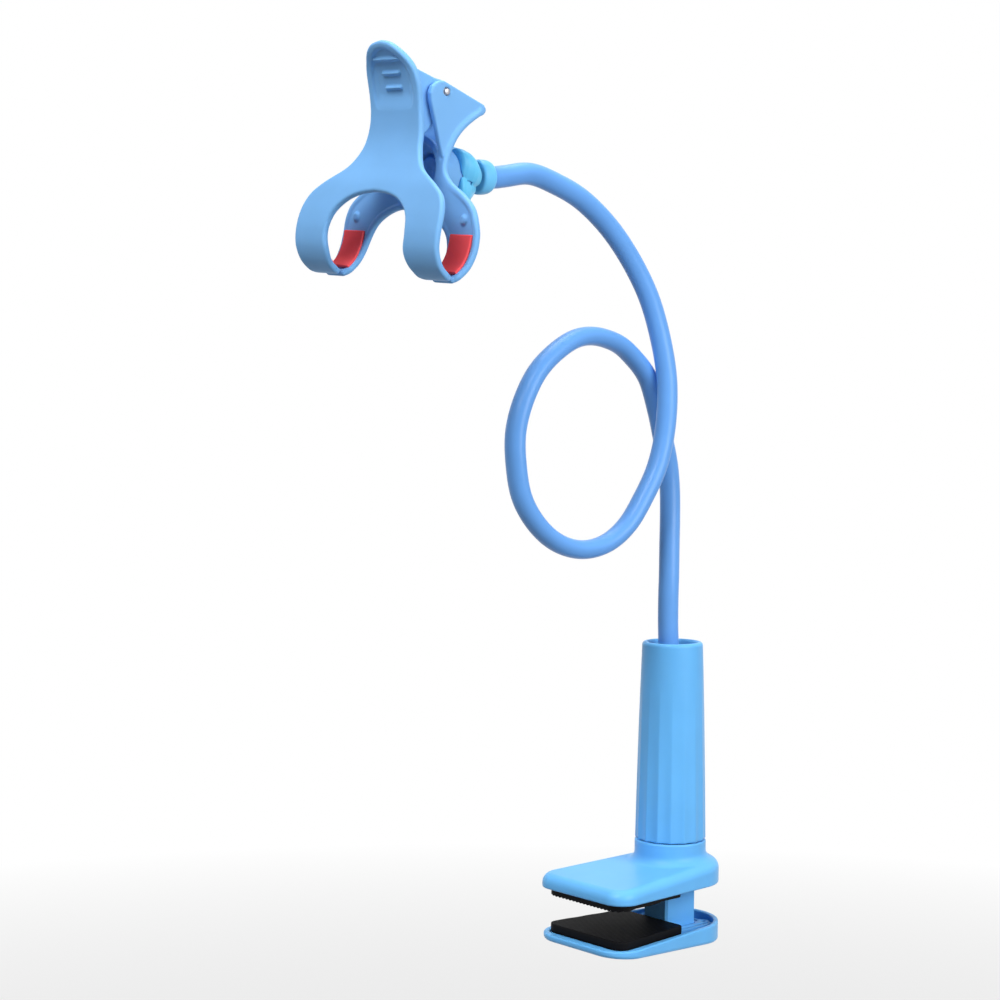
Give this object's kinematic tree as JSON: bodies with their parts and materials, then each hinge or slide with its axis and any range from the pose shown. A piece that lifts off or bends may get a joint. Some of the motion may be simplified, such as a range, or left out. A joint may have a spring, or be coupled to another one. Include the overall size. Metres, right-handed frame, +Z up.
{
  "type": "gooseneck phone holder",
  "caption": "Phone holder with a screw-jaw table clamp, a looped flexible neck and a sprung phone clip on a ball joint.",
  "frame": {"origin": "centre of the lower pad's gripping face", "axes": "+Z up out of the gripping face, -X out of the mouth of the jaws, +Y across the jaws"},
  "size_m": [0.2143, 0.1004, 0.4157],
  "materials": {
    "blue": "satin moulded",
    "clip_blue": "satin moulded",
    "neck_blue": "smooth, glossy",
    "nut_blue": "smooth",
    "black_rubber": "fine ribs",
    "black_plastic": "moulded",
    "red_rubber": "soft, matt",
    "steel": "plated",
    "aluminium": "turned",
    "core": "drawn wire",
    "chrome": "polished"
  },
  "bodies": {
    "base": {"lower_jaw": "blue", "lower_pad": "black_rubber", "post": "blue", "post_screw_front": "steel", "post_screw_rear": "steel", "grub_screw": "steel", "neck_plug": "aluminium", "neck_sheath": "neck_blue", "neck_core": "core", "end_ferrule": "nut_blue", "ball_stud": "chrome"},
    "jaw": {"upper_jaw": "blue", "upper_pad": "black_rubber"},
    "grip": {"grip_sleeve": "blue", "grip_nut": "black_plastic"},
    "seat": {"ball_seat": "black_plastic"},
    "ring": {"friction_ring": "black_plastic"},
    "clip": {"rear_arm": "clip_blue", "socket_cap": "clip_blue", "rear_pad_left": "red_rubber", "rear_pad_right": "red_rubber", "hinge_pin": "steel", "pin_washer_left": "steel", "pin_washer_right": "steel", "torsion_spring": "steel"},
    "nut": {"lock_nut": "nut_blue"},
    "front": {"front_arm": "clip_blue", "front_pad_left": "red_rubber", "front_pad_right": "red_rubber"}
  },
  "joints": [
    {"name": "grip_turn", "type": "hinge", "parent": "jaw", "child": "grip", "pos_m": [0.035, 0, 0.085], "axis": [0, 0, 1], "range_deg": [-805, 1801]},
    {"name": "jaw_slide", "type": "slide", "parent": "base", "child": "jaw", "axis": [0, 0, 1], "range_m": [-0.0134, 0.03]},
    {"name": "ball_yaw", "type": "hinge", "parent": "base", "child": "seat", "pos_m": [-0.106, 0, 0.35], "axis": [0, 0, 1], "range_deg": [-9, 9]},
    {"name": "ball_pitch", "type": "hinge", "parent": "seat", "child": "ring", "pos_m": [-0.106, 0, 0.35], "axis": [0, 1, 0], "range_deg": [-9, 9]},
    {"name": "ball_spin", "type": "hinge", "parent": "ring", "child": "clip", "pos_m": [-0.106, 0, 0.35], "axis": [1, 0, 0], "continuous": true},
    {"name": "nut_turn", "type": "hinge", "parent": "clip", "child": "nut", "pos_m": [-0.106, 0, 0.35], "axis": [1, 0, 0], "range_deg": [-180, 0]},
    {"name": "clip_hinge", "type": "hinge", "parent": "clip", "child": "front", "pos_m": [-0.1277, -0.00297, 0.38397], "axis": [0, 0.9962, 0.0872], "range_deg": [0, 55], "stiffness_Nm_per_rad": 0.33, "springref_deg": -25.78, "deforming": ["torsion_spring"]}
  ],
  "couplings": [
    {"joint": "grip_turn", "follows": "jaw_slide", "rad_per_m": 1047.2}
  ]
}
